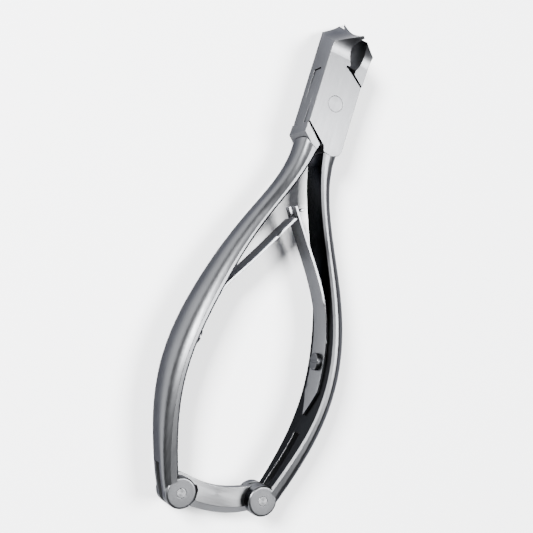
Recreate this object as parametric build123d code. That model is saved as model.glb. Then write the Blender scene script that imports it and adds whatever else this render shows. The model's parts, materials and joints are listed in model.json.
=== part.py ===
from build123d import *
import os

# Heavy box-joint nail nipper with double leaf spring and handle lock.
# Frame: the pivot axis is Z, Z = 0 is the flat back face of the head, +Y points
# to the cutting edges and the handles run towards -Y.  Millimetres throughout.
# The levers are drawn in the resting pose, with the jaws a little open.

# ---- driving dimensions -------------------------------------------------------
HEAD_HALF = 5.9  # half width of the head
HEAD_THICK = 9.7  # flat back face to flat front face
MID_Z = HEAD_THICK / 2
REST_ANGLE = 2.0  # how far the jaws stand open at rest, degrees

SLOT_Z = (2.70, 6.65)  # box slot through the female lever
TONGUE_Z = (2.75, 6.60)  # male lever's middle, which runs in the slot
TONGUE_R = 10.45
SLOT_R = 10.8
PIVOT_R = 2.2
FIXED_CLEARANCE = 0.02
RUNNING_CLEARANCE = 0.05

PLATE_LOW = (-HEAD_HALF, -7.2)  # corners of the female's front and back plates
PLATE_CROTCH = (0.2, -12.0)
PLATE_HIGH = (HEAD_HALF, 7.2)
PLATE_TOP = (0.9, 10.55)
SHOULDER_GAP = 0.45
BLOCK_TOP = 12.0  # above this height the two jaws are one profile, split in two

MEET_X = 0.5  # where the two cutting edges meet, at the middle of the thickness
MEET_TILT = 6.7  # lean of the meeting face about Y, degrees
MEET_GAP = 0.02
EDGE_BACK = (28.0, -3.5)  # Y and Z of the cutting edge's back corner
EDGE_FRONT = (19.5, 13.6)  # Y and Z of its front corner
EDGE_DIP = 1.3  # how far the edge is hollowed between its corners
BEVEL_SLOPE = 0.68  # fall of the outer bevel per millimetre of width
FLARE_BACK_Y = 20.0  # where the back face starts to flare out
FLARE_FRONT_Y = 13.0

# handle sections from the neck to the end pin: place along the inner face, thickness,
# half the depth, and how square the crown is
HANDLE_SECTIONS = ((0.0, 5.0, 4.75, 0.5), (0.06, 4.0, 4.75, 0.3), (0.16, 3.5, 4.8, 0.1),
                   (0.30, 3.8, 5.3, 0.0), (0.46, 4.4, 6.4, 0.0), (0.61, 4.6, 6.9, 0.0),
                   (0.75, 4.4, 6.3, 0.2), (0.88, 4.2, 5.1, 0.7), (1.0, 3.95, 4.25, 1.0))
LIP_CHAMFER = 0.55

CATCH_PIN = (-9.4, -110.0)
STRAP_PIN = (13.4, -107.1)
LEFT_INNER = ((-0.6, -12.4), (-3.7, -23.5), (-9.7, -38.0), (-15.7, -58.0), (-18.4, -77.0),
              (-16.6, -91.5), (-12.2, -103.7), CATCH_PIN)
RIGHT_INNER = ((0.9, -12.6), (4.1, -25.0), (12.3, -43.4), (20.0, -66.0), (20.9, -78.5),
               (18.6, -92.0), (15.6, -101.2), STRAP_PIN)

EAR_R = 4.1
EAR_Z = (0.5, 9.2)
EAR_ROUND = 0.6
PIN_R = 1.25
CLEVIS_Z = (3.4, 6.3)
STRAP_Z = (3.7, 6.0)

LEAF_THICK = 0.7
LEAF_GAP = 0.12  # between the leaf and the handle that it is screwed to
LEAF_FOOT_HALF = 3.6
LEAF_TOP_HALF = 3.0
FORK_HALF = 1.05
TONGUE_HALF = 0.8
SCREW_HEAD_R = 2.4
SCREW_HEAD_H = 1.1
SCREW_SEAT = 0.12  # the flat head stands this far off the curved leaf
SCREW_R = 1.2
SCREW_LENGTH = 3.4


def flat(points):
    """Face in the XY plane through straight-sided points."""
    return make_face(Polyline(*points, close=True))


def slab(face, z_range):
    """Extrude an XY face between two heights."""
    return extrude(Pos(0, 0, z_range[0]) * face, z_range[1] - z_range[0], dir=(0, 0, 1))


def post(centre, radius, z_range):
    """Cylinder along Z between two heights."""
    return slab(Pos(*centre) * Circle(radius).face(), z_range)


def edge_y(z):
    """Y of the hollowed cutting edge at height z: a parabola between its corners."""
    t = (z - EDGE_BACK[1]) / (EDGE_FRONT[1] - EDGE_BACK[1])
    chord = EDGE_BACK[0] + t * (EDGE_FRONT[0] - EDGE_BACK[0])
    return chord - 4 * EDGE_DIP * t * (1 - t)


# ---- head ---------------------------------------------------------------------
def jaw_block():
    """Both jaws as one solid: flared side profile with an outer bevel on each side."""
    heights = (EDGE_BACK[1], 0.8, 5.05, 9.3, EDGE_FRONT[1])
    end = Spline(*[(0, edge_y(z), z) for z in heights])
    back_corner = (0, EDGE_BACK[0], EDGE_BACK[1])
    front_corner = (0, EDGE_FRONT[0], EDGE_FRONT[1])
    back_flare = TangentArc((0, FLARE_BACK_Y, 0), back_corner, tangent=(0, 1, 0))
    front_flare = TangentArc((0, FLARE_FRONT_Y, HEAD_THICK), front_corner, tangent=(0, 1, 0))
    foot = Polyline((0, FLARE_BACK_Y, 0), (0, 9, 0), (0, 9, HEAD_THICK),
                    (0, FLARE_FRONT_Y, HEAD_THICK))
    side = make_face([end, back_flare, front_flare, foot])
    block = extrude(side, HEAD_HALF, dir=(1, 0, 0), both=True)
    end_face = make_face([end, Polyline(front_corner, (0, -20, EDGE_FRONT[1]),
                                        (0, -20, EDGE_BACK[1]), back_corner)])
    left = extrude(end_face, 14, dir=(-1, -BEVEL_SLOPE, 0))
    right = extrude(end_face, 14, dir=(1, -BEVEL_SLOPE, 0))
    return block & (Pos(MEET_X, 0, 0) * (left + right))


def hollow():
    """Space behind the cutting edges; it follows the slant of the edge."""
    sections = []
    for z in (-4.5, 0.5, 5.0, 9.5, 14.6):
        top = edge_y(z) - 0.3
        left = Spline((0, top, z), (-1.2, top - 2.3, z), (-1.5, top - 4.6, z),
                      (-0.7, top - 6.9, z), (0.1, top - 8.6, z))
        right = Spline((0, top, z), (1.4, top - 2.0, z), (2.3, top - 4.5, z),
                       (2.3, top - 6.9, z), (1.4, top - 9.0, z))
        base = Line((0.1, top - 8.6, z), (1.4, top - 9.0, z))
        sections.append(make_face([left, right, base]))
    slit = slab(flat([(-0.1, 10.3), (1.5, 9.9), (1.5, 17.0), (-0.1, 17.0)]), (-5, 15))
    return MEETING * (loft(sections) + slit)


def female_head():
    """Left jaw, the front and back plates and the root of the right handle."""
    plates = flat([PLATE_LOW, PLATE_CROTCH, (0.8, -13.6), (3.4, -14.0), (5.4, -13.1),
                   (HEAD_HALF, -11.8), PLATE_HIGH, PLATE_TOP, (0, 10.9), (0, BLOCK_TOP),
                   (-HEAD_HALF, BLOCK_TOP)])
    body = slab(plates, (0, HEAD_THICK)) + (JAWS & half_space(-1))
    body -= HOLLOW
    body -= post((0, 0), SLOT_R, SLOT_Z)
    body -= post((0, 0), PIVOT_R + FIXED_CLEARANCE, (-1, HEAD_THICK + 1))
    return body


def half_space(side):
    """Everything on one side of the leaning meeting face, above the box joint."""
    near = side * MEET_GAP
    far = side * 12
    return MEETING * slab(flat([(near, BLOCK_TOP - 0.6), (far, BLOCK_TOP - 0.6), (far, 32),
                                (near, 32)]), (-9, 19))


def male_head():
    """Right jaw, the tongue through the slot and the root of the left handle."""
    shift = SHOULDER_GAP
    jaw_plan = flat([(HEAD_HALF, PLATE_HIGH[1] + 1.2 * shift), (PLATE_TOP[0] + 0.5 * shift, 11.0),
                     (1.2, BLOCK_TOP), (HEAD_HALF, BLOCK_TOP)])
    root_plan = flat([(-HEAD_HALF, PLATE_LOW[1] - 1.2 * shift), (-0.5, -12.2), (-0.9, -13.9),
                      (-3.0, -12.9), (-HEAD_HALF, -10.6)])
    strip = flat([(-HEAD_HALF, -12), (HEAD_HALF, -12), (HEAD_HALF, 12), (-HEAD_HALF, 12)])
    tongue = post((0, 0), TONGUE_R, TONGUE_Z) & slab(strip, TONGUE_Z)
    body = slab(jaw_plan, (0, HEAD_THICK)) + (JAWS & half_space(1))
    body -= HOLLOW
    body += slab(root_plan, (0, HEAD_THICK))
    body += tongue
    body -= post((0, 0), PIVOT_R + RUNNING_CLEARANCE, (-1, HEAD_THICK + 1))
    return Rot(0, 0, -REST_ANGLE) * body


# ---- handles --------------------------------------------------------------------
def outward(curve, t, side):
    """Unit vector in the plan, square to the curve, on the handle's outer side."""
    along = curve % t
    return Vector(-along.Y, along.X, 0) * (-side if along.Y < 0 else side) * -1


def section(curve, t, side, thick, half, square):
    """D-shaped section: flat inner face with chamfered lips, crowned outer face."""
    origin = curve @ t
    plane = Plane(origin=(origin.X, origin.Y, MID_Z), x_dir=outward(curve, t, side),
                  z_dir=curve % t)
    lip = (0.30 + 0.25 * square) * thick
    shoulder = ((0.86 + 0.08 * square) * thick, (0.66 + 0.16 * square) * half)
    inset = half - LIP_CHAMFER
    inner = Polyline((lip, -half), (LIP_CHAMFER, -half), (0, -inset), (0, inset),
                     (LIP_CHAMFER, half), (lip, half))
    crown = Spline((lip, half), shoulder, (thick, 0), (shoulder[0], -shoulder[1]), (lip, -half))
    return plane * make_face([inner, crown])


def handle(curve, side):
    """Handle lofted through its stations along the inner face."""
    return loft([section(curve, t, side, *shape) for t, *shape in HANDLE_SECTIONS])


def ears(pin):
    """Round ears at the handle's end, still joined; the clevis slot parts them."""
    disc = post(pin, EAR_R, EAR_Z)
    rims = disc.edges().filter_by(GeomType.CIRCLE)
    return fillet(rims, EAR_ROUND)


def screw_place(curve, t, side):
    """Plane on the leaf's free side, with Z pointing away from the handle."""
    foot = curve @ t
    away = outward(curve, t, side) * -1
    spot = foot + away * (LEAF_GAP + LEAF_THICK + SCREW_SEAT)
    return Plane(origin=(spot.X, spot.Y, MID_Z), x_dir=(0, 0, 1), z_dir=away)


def right_handle():
    body = handle(RIGHT_CURVE, 1) + ears(STRAP_PIN)
    slot = flat([(2, -103.0), (22, -101.5), (22, -120), (2, -120)])
    body -= slab(slot, CLEVIS_Z)
    groove = flat([(12, -104), (17.3, -103), (19.2, -99), (21.2, -93), (21.6, -88.5),
                   (18.6, -87), (16, -88)])
    body -= slab(groove, CLEVIS_Z)
    return body


def left_handle():
    body = handle(LEFT_CURVE, -1) + ears(CATCH_PIN)
    slot = flat([(-26, -104.6), (-2, -103.8), (-2, -120), (-26, -120)])
    pocket = flat([(-14.4, -105), (-14.4, -98.5), (-12.5, -97.0), (-8, -97.0), (-8, -105)])
    return body - slab(slot, CLEVIS_Z) - slab(pocket, CLEVIS_Z)


def screw_hole(place):
    """Blind hole in the handle for a leaf's screw."""
    depth = SCREW_LENGTH + 0.2
    return place * Pos(0, 0, -depth / 2) * Cylinder(SCREW_R + RUNNING_CLEARANCE, depth)


# ---- leaf springs -----------------------------------------------------------------
def leaf_plan(points):
    """Band of constant thickness along a smooth line."""
    line = Spline(*points)
    count = 14
    sides = []
    for sign in (1, -1):
        side = []
        for i in range(count + 1):
            t = i / count
            along = line % t
            spot = line @ t + Vector(-along.Y, along.X, 0) * (sign * LEAF_THICK / 2)
            side.append((spot.X, spot.Y))
        sides.append(side)
    near = Spline(*sides[0])
    far = Spline(*sides[1])
    return make_face([near, Line(near @ 1, far @ 1), far, Line(far @ 0, near @ 0)])


def leaf_width(y_shoulder, y_top, top_half):
    """Side view of a leaf: pointed foot, long taper, narrow top."""
    outline = [(-82.6, 0), (-76.0, LEAF_FOOT_HALF - 0.3), (-66.0, LEAF_FOOT_HALF),
               (y_shoulder, LEAF_TOP_HALF), (y_shoulder, top_half), (y_top, top_half)]
    mirrored = [(y, -z) for y, z in reversed(outline[1:])]
    points = [(0, y, MID_Z + z) for y, z in outline + mirrored]
    return extrude(make_face(Polyline(*points, close=True)), 40, dir=(1, 0, 0), both=True)


def foot_points(curve, side, stations):
    """Points of the leaf's middle line where it lies on the handle."""
    offset = LEAF_GAP + LEAF_THICK / 2
    spots = [curve @ t - outward(curve, t, side) * offset for t in stations]
    return [(spot.X, spot.Y) for spot in spots]


def left_leaf():
    """Leaf with the narrow tongue and its cross bar."""
    points = foot_points(LEFT_CURVE, -1, (0.72, 0.665, 0.61, 0.55, 0.495))
    points += [(-9.5, -48.9), (-4.4, -40.1), (0.15, -32.1), (2.6, -27.8)]
    band = slab(leaf_plan(points), (0, HEAD_THICK))
    blade = band & leaf_width(-33.1, -30.4, TONGUE_HALF)
    bar = band & Pos(0, -30.0, MID_Z) * Box(20, 0.9, 4 * TONGUE_HALF)
    return blade + bar - screw_bore(LEFT_SCREW)


def right_leaf():
    """Leaf with the two-pronged fork that the tongue hooks into."""
    points = foot_points(RIGHT_CURVE, 1, (0.755, 0.69, 0.625, 0.56, 0.495))
    points += [(8.9, -43.4), (4.9, -38.3), (0.15, -32.1), (-1.5, -29.9)]
    band = slab(leaf_plan(points), (0, HEAD_THICK))
    blade = band & leaf_width(-29.9, -29.0, LEAF_TOP_HALF - 0.3)
    fork = Pos(0, -29.7, MID_Z) * Box(20, 6.8, 2 * FORK_HALF)
    return blade - fork - screw_bore(RIGHT_SCREW)


def screw_bore(place):
    """Hole through a leaf's foot."""
    return place * Cylinder(SCREW_R + RUNNING_CLEARANCE, 3)


def screw(place):
    """Slotted screw that holds a leaf to its handle."""
    head = Pos(0, 0, SCREW_HEAD_H / 2) * Cylinder(SCREW_HEAD_R, SCREW_HEAD_H)
    head = fillet(head.edges().group_by(Axis.Z)[-1], 0.35)
    shank = Pos(0, 0, -SCREW_LENGTH / 2) * Cylinder(SCREW_R, SCREW_LENGTH)
    slot = Pos(0, 0, SCREW_HEAD_H) * Box(5, 0.6, 0.9)
    return place * (head + shank - slot)


# ---- lock ---------------------------------------------------------------------------
def lock_strap():
    """Curved hook plate: eye on the right pin, nose beyond the catch pin."""
    top = Spline((13.0, -103.3), (7.4, -105.3), (2.0, -106.4), (-3.9, -106.3), (-9.2, -105.4),
                 (-13.2, -105.3))
    nose = Polyline((-13.2, -105.3), (-13.9, -106.2), (-13.7, -107.7), (-11.6, -108.0),
                    (-11.0, -107.5), (-4.6, -107.5), (-3.9, -108.6), (-3.9, -113.3))
    bottom = Spline((-3.9, -113.3), (1.0, -113.4), (6.0, -112.9), (12.6, -110.8))
    plate = make_face([top, nose, bottom, Line((12.6, -110.8), (13.0, -103.3))])
    body = slab(plate, STRAP_Z)
    lower = body.edges().filter_by(lambda e: e.center().Z > STRAP_Z[1] - 0.01)
    lower = lower.filter_by(lambda e: e.center().Y < -112.5)
    body = chamfer(lower, 1.9)
    body += post(STRAP_PIN, 3.8, STRAP_Z)
    return body - post(STRAP_PIN, PIN_R + RUNNING_CLEARANCE, (0, HEAD_THICK))


def pin_hole(pin):
    return post(pin, PIN_R + FIXED_CLEARANCE, (-2, HEAD_THICK + 2))


LEFT_CURVE = Spline(*LEFT_INNER)
RIGHT_CURVE = Spline(*RIGHT_INNER)
LEFT_SCREW = screw_place(LEFT_CURVE, 0.60, -1)
RIGHT_SCREW = screw_place(RIGHT_CURVE, 0.59, 1)
MEETING = Pos(MEET_X, 0, MID_Z) * Rot(0, MEET_TILT, 0) * Pos(0, 0, -MID_Z)
JAWS = jaw_block()
HOLLOW = hollow()

female = female_head() + right_handle() - pin_hole(STRAP_PIN) - screw_hole(RIGHT_SCREW)
male = male_head() + left_handle() - pin_hole(CATCH_PIN) - screw_hole(LEFT_SCREW)

nodes = {
    "female_lever": female,
    "male_lever": male,
    "joint_rivet": post((0, 0), PIVOT_R, (0, HEAD_THICK)),
    "left_leaf_spring": left_leaf(),
    "right_leaf_spring": right_leaf(),
    "left_spring_screw": screw(LEFT_SCREW),
    "right_spring_screw": screw(RIGHT_SCREW),
    "lock_strap": lock_strap(),
    "strap_hinge_rivet": post(STRAP_PIN, PIN_R, EAR_Z),
    "catch_pin": post(CATCH_PIN, PIN_R, EAR_Z),
}

os.makedirs("parts", exist_ok=True)
for name, shape in nodes.items():
    export_step(shape, "parts/" + name + ".step")
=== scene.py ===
import json
import bmesh
import bpy
from mathutils import Matrix, Vector


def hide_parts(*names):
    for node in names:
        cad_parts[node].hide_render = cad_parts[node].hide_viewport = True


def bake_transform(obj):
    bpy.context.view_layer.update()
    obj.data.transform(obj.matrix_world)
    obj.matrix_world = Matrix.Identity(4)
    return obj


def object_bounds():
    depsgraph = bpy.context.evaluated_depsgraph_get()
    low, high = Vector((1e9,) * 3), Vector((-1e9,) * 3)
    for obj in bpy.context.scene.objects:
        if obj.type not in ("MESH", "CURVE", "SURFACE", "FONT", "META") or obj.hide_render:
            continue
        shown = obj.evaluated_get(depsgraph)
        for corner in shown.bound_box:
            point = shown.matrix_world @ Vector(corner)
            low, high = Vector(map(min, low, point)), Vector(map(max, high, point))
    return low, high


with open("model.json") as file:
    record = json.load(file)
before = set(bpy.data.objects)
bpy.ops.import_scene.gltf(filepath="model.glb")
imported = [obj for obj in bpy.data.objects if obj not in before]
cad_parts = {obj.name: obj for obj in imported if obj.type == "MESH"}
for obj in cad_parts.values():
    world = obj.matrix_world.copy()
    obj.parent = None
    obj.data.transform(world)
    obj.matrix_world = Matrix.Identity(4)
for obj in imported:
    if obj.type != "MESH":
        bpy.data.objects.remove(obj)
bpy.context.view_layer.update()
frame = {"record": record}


NODES = {o.name.split(".")[0]: o for o in bpy.data.objects if o.type == "MESH"}


# ---- materials ------------------------------------------------------------------
class Steel:
    """Brushed or satin steel, with painted shade on the inner handle face when asked; every
    variation is read from object coordinates, in metres.
    """

    def __init__(self, name, colour, roughness, grain=(1, 1, 1), grain_depth=0.3, edge=0.5,
                 painted_shade_side=0):
        self.material = bpy.data.materials.new(name)
        self.material.use_nodes = True
        self.tree = self.material.node_tree
        self.tree.nodes.clear()
        self.coords = self.add("ShaderNodeTexCoord").outputs["Object"]
        shader = self.add("ShaderNodeBsdfPrincipled")
        shader.inputs["Metallic"].default_value = 1.0
        shader.inputs["Anisotropic"].default_value = 0.35
        shader.inputs["Specular Tint"].default_value = (0.30, 0.30, 0.31, 1)
        output = self.add("ShaderNodeOutputMaterial")
        self.link(shader.outputs["BSDF"], output.inputs["Surface"])
        mottle = self.noise(90, 4, (1, 1, 1))
        brush = self.noise(1500, 3, grain)
        tint = self.ramp(mottle, [(0.3, [0.90 * c for c in colour]), (0.7, colour)])
        wear = self.edge_wear(edge)
        brighter = [min(1.0, c * 1.5) for c in colour]
        tone = self.mix(wear, tint, brighter)
        # painted shade: the handle face that looks towards the other handle is darkened,
        # standing in for the shade it sits in
        if painted_shade_side:
            tone = self.mix(self.inner_shade_mask(painted_shade_side), tone, INNER_PAINTED_SHADE)
        self.link(tone, shader.inputs["Base Color"])
        self.link(self.scale(brush, roughness - 0.05, roughness + 0.07),
                  shader.inputs["Roughness"])
        bump = self.add("ShaderNodeBump")
        bump.inputs["Strength"].default_value = grain_depth
        bump.inputs["Distance"].default_value = 0.00004
        self.link(brush, bump.inputs["Height"])
        round_edge = self.add("ShaderNodeBevel")
        round_edge.samples = 6
        round_edge.inputs["Radius"].default_value = 0.00022
        self.link(round_edge.outputs["Normal"], bump.inputs["Normal"])
        self.link(bump.outputs["Normal"], shader.inputs["Normal"])

    def add(self, kind):
        return self.tree.nodes.new(kind)

    def link(self, source, target):
        self.tree.links.new(source, target)

    def noise(self, scale, detail, stretch):
        mapping = self.add("ShaderNodeMapping")
        mapping.inputs["Scale"].default_value = stretch
        self.link(self.coords, mapping.inputs["Vector"])
        texture = self.add("ShaderNodeTexNoise")
        texture.inputs["Scale"].default_value = scale
        texture.inputs["Detail"].default_value = detail
        self.link(mapping.outputs["Vector"], texture.inputs["Vector"])
        return texture.outputs["Fac"]

    def ramp(self, fac, stops):
        node = self.add("ShaderNodeValToRGB")
        for element, (place, colour) in zip(node.color_ramp.elements, stops):
            element.position = place
            element.color = (*colour, 1)
        self.link(fac, node.inputs["Fac"])
        return node.outputs["Color"]

    def scale(self, value, low, high):
        node = self.add("ShaderNodeMapRange")
        node.inputs["To Min"].default_value = low
        node.inputs["To Max"].default_value = high
        self.link(value, node.inputs["Value"])
        return node.outputs["Result"]

    def mix(self, fac, first, second):
        node = self.add("ShaderNodeMix")
        node.data_type = "RGBA"
        node.inputs[7].default_value = (*second, 1)
        self.link(fac, node.inputs[0])
        self.link(first, node.inputs[6])
        return node.outputs[2]

    def inner_shade_mask(self, side):
        """1 on the handle face that looks towards the other handle, below the neck, where
        painted shade darkens the colour.
        """
        normal = self.add("ShaderNodeSeparateXYZ")
        self.link(self.add("ShaderNodeTexCoord").outputs["Normal"], normal.inputs["Vector"])
        facing = self.add("ShaderNodeMapRange")
        facing.inputs["From Min"].default_value = side * 0.80
        facing.inputs["From Max"].default_value = side * 0.88
        self.link(normal.outputs["X"], facing.inputs["Value"])
        place = self.add("ShaderNodeSeparateXYZ")
        self.link(self.coords, place.inputs["Vector"])
        below = self.add("ShaderNodeMapRange")
        below.inputs["From Min"].default_value = -0.013
        below.inputs["From Max"].default_value = -0.017
        self.link(place.outputs["Y"], below.inputs["Value"])
        both = self.add("ShaderNodeMath")
        both.operation = "MULTIPLY"
        self.link(facing.outputs["Result"], both.inputs[0])
        self.link(below.outputs["Result"], both.inputs[1])
        return both.outputs["Value"]

    def edge_wear(self, amount):
        """Brighter along convex edges, where handling polishes the steel."""
        geometry = self.add("ShaderNodeNewGeometry")
        node = self.add("ShaderNodeMapRange")
        node.inputs["From Min"].default_value = 0.51
        node.inputs["From Max"].default_value = 0.60
        node.inputs["To Max"].default_value = amount
        self.link(geometry.outputs["Pointiness"], node.inputs["Value"])
        return node.outputs["Result"]


# The tones are dark and edge reflections are held down, to give the dull satin look of
# the tool on a bright white floor, which polished bright steel would mirror.
STEEL = (0.082, 0.0835, 0.0875)
# painted shade: the colour of the inner handle faces, which sit in shade between the handles
INNER_PAINTED_SHADE = (0.020, 0.0205, 0.0215)
MATERIALS = {
    # the two lever materials carry painted shade on their inner handle faces
    "female_lever": Steel("satin_steel_right", STEEL, 0.34, (1, 0.12, 1), 0.35, painted_shade_side=-1),
    "male_lever": Steel("satin_steel_left", STEEL, 0.34, (1, 0.12, 1), 0.35, painted_shade_side=1),
    "satin_steel": Steel("satin_steel", STEEL, 0.34, (1, 0.12, 1), 0.35),
    "spring_steel": Steel("spring_steel", (0.105, 0.107, 0.112), 0.32, (1, 0.10, 1), 0.25),
    "screw_steel": Steel("screw_steel", (0.055, 0.056, 0.059), 0.30, (1, 1, 1), 0.2),
    "strap_steel": Steel("strap_steel", (0.115, 0.1165, 0.12), 0.33, (0.12, 1, 1), 0.3),
    "pin_steel": Steel("pin_steel", (0.10, 0.1015, 0.105), 0.30, (1, 1, 0.2), 0.2),
}
SLOTS = {part["node"]: part["material_slot"] for part in frame["record"]["subparts"]}


def dress(obj, slot_name):
    obj.data.materials.clear()
    obj.data.materials.append(MATERIALS[slot_name].material)


for node_name, slot_name in SLOTS.items():
    dress(NODES[node_name], node_name if node_name in MATERIALS else slot_name)


# ---- finely divided copies of the leaf springs -------------------------------------
LEAF_CUTS = 40  # cuts along the leaf, to divide it finely along its length


def bending_leaf(node_name, piece_name):
    """A finely divided copy of the leaf, which replaces the hidden original."""
    mesh = NODES[node_name].data.copy()
    piece = bpy.data.objects.new(piece_name, mesh)
    bpy.context.scene.collection.objects.link(piece)
    work = bmesh.new()
    work.from_mesh(mesh)
    bmesh.ops.remove_doubles(work, verts=work.verts, dist=1e-6)
    low = min(v.co.y for v in work.verts)
    high = max(v.co.y for v in work.verts)
    for i in range(1, LEAF_CUTS):
        y = low + (high - low) * i / LEAF_CUTS
        bmesh.ops.bisect_plane(work, geom=work.verts[:] + work.edges[:] + work.faces[:],
                               plane_co=(0, y, 0), plane_no=(0, 1, 0))
    work.to_mesh(mesh)
    work.free()
    dress(piece, SLOTS[node_name])
    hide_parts(node_name)
    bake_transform(piece)


bending_leaf("left_leaf_spring", "left_leaf_spring_bent")
bending_leaf("right_leaf_spring", "right_leaf_spring_bent")


# ---- floor, light and camera -----------------------------------------------------
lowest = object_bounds()[0].z
bpy.ops.mesh.primitive_plane_add(size=6, location=(0, 0, lowest - 0.0001))
floor = bpy.context.object
floor.name = "floor"
paper = bpy.data.materials.new("pale_floor")
paper.use_nodes = True
shader = paper.node_tree.nodes["Principled BSDF"]
shader.inputs["Base Color"].default_value = (0.96, 0.965, 0.975, 1)
shader.inputs["Roughness"].default_value = 0.9
floor.data.materials.append(paper)

CENTRE = Vector((0.0, -0.045, 0.005))  # what the lights are aimed at


def softbox(name, place, size, power):
    """Rectangular light at a place relative to the tool's middle, aimed at it."""
    data = bpy.data.lights.new(name, "AREA")
    data.shape = "RECTANGLE"
    data.size, data.size_y = size
    data.energy = power
    light = bpy.data.objects.new(name, data)
    light.location = CENTRE + Vector(place)
    light.rotation_euler = (-Vector(place)).to_track_quat("-Z", "Y").to_euler()
    bpy.context.scene.collection.objects.link(light)


softbox("overhead", (0.38, 0.14, 0.82), (0.38, 0.38), 25)
softbox("key", (-0.55, 0.12, 0.58), (0.22, 0.22), 30)

world = bpy.data.worlds.new("studio")
world.use_nodes = True
world.node_tree.nodes["Background"].inputs["Color"].default_value = (0.90, 0.93, 1.0, 1)
world.node_tree.nodes["Background"].inputs["Strength"].default_value = 0.20
bpy.context.scene.world = world

right = Vector((0.86023, 0.28947, 0.41978))
up = Vector((-0.31895, 0.94777, 0.00006))
back = Vector((-0.39784, -0.13394, 0.90763))
camera_data = bpy.data.cameras.new("camera")
camera_data.lens = 61.19
camera_data.sensor_width = 36
camera_data.clip_start = 0.01
camera = bpy.data.objects.new("camera", camera_data)
turn = Matrix((right, up, back)).transposed().to_4x4()
camera.matrix_world = Matrix.Translation((-0.099883, -0.080224, 0.225044)) @ turn
bpy.context.scene.collection.objects.link(camera)
bpy.context.scene.camera = camera
